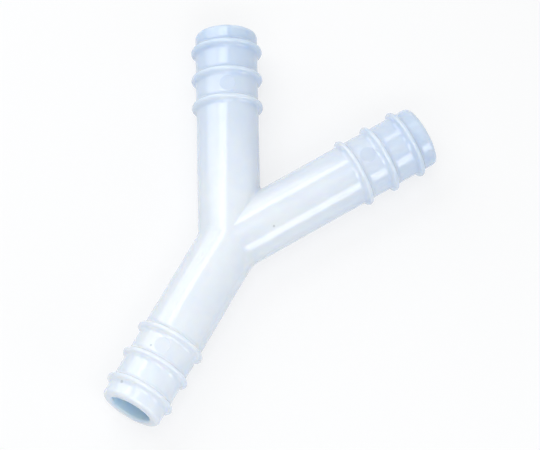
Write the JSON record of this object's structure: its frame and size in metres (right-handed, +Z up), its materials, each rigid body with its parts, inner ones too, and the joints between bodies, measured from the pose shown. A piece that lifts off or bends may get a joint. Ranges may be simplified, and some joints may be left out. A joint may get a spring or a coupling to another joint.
{
  "type": "tubing y connector",
  "caption": "Y-shaped one-piece plastic connector joining three equal hoses: beaded ends on a stem and two branches 60 degrees apart, with bores that meet inside.",
  "frame": {"origin": "middle of the outline in X and Y, at the level of the surface it lies on, under the lowest points of its beads", "axes": "+Z up, square to the plane of the Y; the stem points along -Y and the branches lean 30 degrees to either side of +Y"},
  "size_m": [0.0528, 0.0784, 0.0137],
  "materials": {
    "natural_polypropylene": "translucent natural polypropylene, injection moulded, semi-gloss"
  },
  "bodies": {
    "root": {"y_connector": "natural_polypropylene"}
  },
  "joints": []
}
